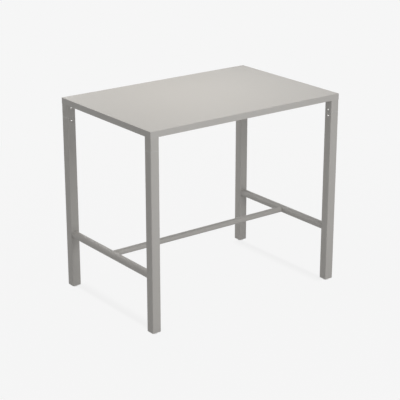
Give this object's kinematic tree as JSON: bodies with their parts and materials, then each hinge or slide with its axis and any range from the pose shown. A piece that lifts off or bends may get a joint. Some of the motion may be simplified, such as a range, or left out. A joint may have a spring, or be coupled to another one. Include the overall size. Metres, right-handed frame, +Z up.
{
  "type": "standing meeting table",
  "caption": "Rectangular bar-height steel table: folded flat top with skirt, flush square legs screwed to corner stubs, round H stretcher near the floor, levelling glides.",
  "frame": {"origin": "on the floor under the middle of the table top", "axes": "+X along the long side, +Y along the short side towards the back, +Z up"},
  "size_m": [1.2, 0.8, 1.05],
  "materials": {
    "top_powder_coat": "matte warm-grey fine-texture powder coat",
    "powder_coat": "matte warm-grey fine-texture powder coat",
    "zinc_steel": "bright zinc-plated steel",
    "stainless_steel": "turned stainless steel",
    "plug_plastic": "moulded pale grey polyethylene",
    "brass_insert": "plain turned brass",
    "pad_nylon": "moulded natural nylon",
    "stem_zinc": "bright zinc-plated steel"
  },
  "bodies": {
    "root": {"top_tray": "top_powder_coat", "frame_rail_front": "powder_coat", "frame_rail_back": "powder_coat", "frame_rail_left": "powder_coat", "frame_rail_right": "powder_coat", "stiffener_left": "powder_coat", "stiffener_middle": "powder_coat", "stiffener_right": "powder_coat", "corner_stub_front_left": "powder_coat", "leg_front_left": "powder_coat", "leg_connector_front_left": "zinc_steel", "leg_screws_front_left": "stainless_steel", "weld_nuts_front_left": "zinc_steel", "leg_plug_front_left": "plug_plastic", "plug_insert_front_left": "brass_insert", "corner_stub_front_right": "powder_coat", "leg_front_right": "powder_coat", "leg_connector_front_right": "zinc_steel", "leg_screws_front_right": "stainless_steel", "weld_nuts_front_right": "zinc_steel", "leg_plug_front_right": "plug_plastic", "plug_insert_front_right": "brass_insert", "corner_stub_back_left": "powder_coat", "leg_back_left": "powder_coat", "leg_connector_back_left": "zinc_steel", "leg_screws_back_left": "stainless_steel", "weld_nuts_back_left": "zinc_steel", "leg_plug_back_left": "plug_plastic", "plug_insert_back_left": "brass_insert", "corner_stub_back_right": "powder_coat", "leg_back_right": "powder_coat", "leg_connector_back_right": "zinc_steel", "leg_screws_back_right": "stainless_steel", "weld_nuts_back_right": "zinc_steel", "leg_plug_back_right": "plug_plastic", "plug_insert_back_right": "brass_insert", "side_stretcher_left": "powder_coat", "cross_spigot_left": "zinc_steel", "side_stretcher_right": "powder_coat", "cross_spigot_right": "zinc_steel", "cross_stretcher": "powder_coat", "cross_set_screws": "stainless_steel"},
    "pad_front_left": {"glide_pad_front_left": "pad_nylon"},
    "stem_front_left": {"glide_stem_front_left": "stem_zinc"},
    "pad_front_right": {"glide_pad_front_right": "pad_nylon"},
    "stem_front_right": {"glide_stem_front_right": "stem_zinc"},
    "pad_back_left": {"glide_pad_back_left": "pad_nylon"},
    "stem_back_left": {"glide_stem_back_left": "stem_zinc"},
    "pad_back_right": {"glide_pad_back_right": "pad_nylon"},
    "stem_back_right": {"glide_stem_back_right": "stem_zinc"}
  },
  "joints": [
    {"name": "glide_slide_front_left", "type": "slide", "parent": "root", "child": "pad_front_left", "axis": [0, 0, -1], "range_m": [0, 0.01]},
    {"name": "stem_spin_front_left", "type": "hinge", "parent": "pad_front_left", "child": "stem_front_left", "pos_m": [-0.575, -0.375, 0.004], "axis": [0, 0, -1], "range_deg": [0, 2880]},
    {"name": "glide_slide_front_right", "type": "slide", "parent": "root", "child": "pad_front_right", "axis": [0, 0, -1], "range_m": [0, 0.01]},
    {"name": "stem_spin_front_right", "type": "hinge", "parent": "pad_front_right", "child": "stem_front_right", "pos_m": [0.575, -0.375, 0.004], "axis": [0, 0, -1], "range_deg": [0, 2880]},
    {"name": "glide_slide_back_left", "type": "slide", "parent": "root", "child": "pad_back_left", "axis": [0, 0, -1], "range_m": [0, 0.01]},
    {"name": "stem_spin_back_left", "type": "hinge", "parent": "pad_back_left", "child": "stem_back_left", "pos_m": [-0.575, 0.375, 0.004], "axis": [0, 0, -1], "range_deg": [0, 2880]},
    {"name": "glide_slide_back_right", "type": "slide", "parent": "root", "child": "pad_back_right", "axis": [0, 0, -1], "range_m": [0, 0.01]},
    {"name": "stem_spin_back_right", "type": "hinge", "parent": "pad_back_right", "child": "stem_back_right", "pos_m": [0.575, 0.375, 0.004], "axis": [0, 0, -1], "range_deg": [0, 2880]}
  ],
  "couplings": [
    {"joint": "stem_spin_front_left", "follows": "glide_slide_front_left", "rad_per_m": 5026.5},
    {"joint": "stem_spin_front_right", "follows": "glide_slide_front_right", "rad_per_m": 5026.5},
    {"joint": "stem_spin_back_left", "follows": "glide_slide_back_left", "rad_per_m": 5026.5},
    {"joint": "stem_spin_back_right", "follows": "glide_slide_back_right", "rad_per_m": 5026.5}
  ]
}
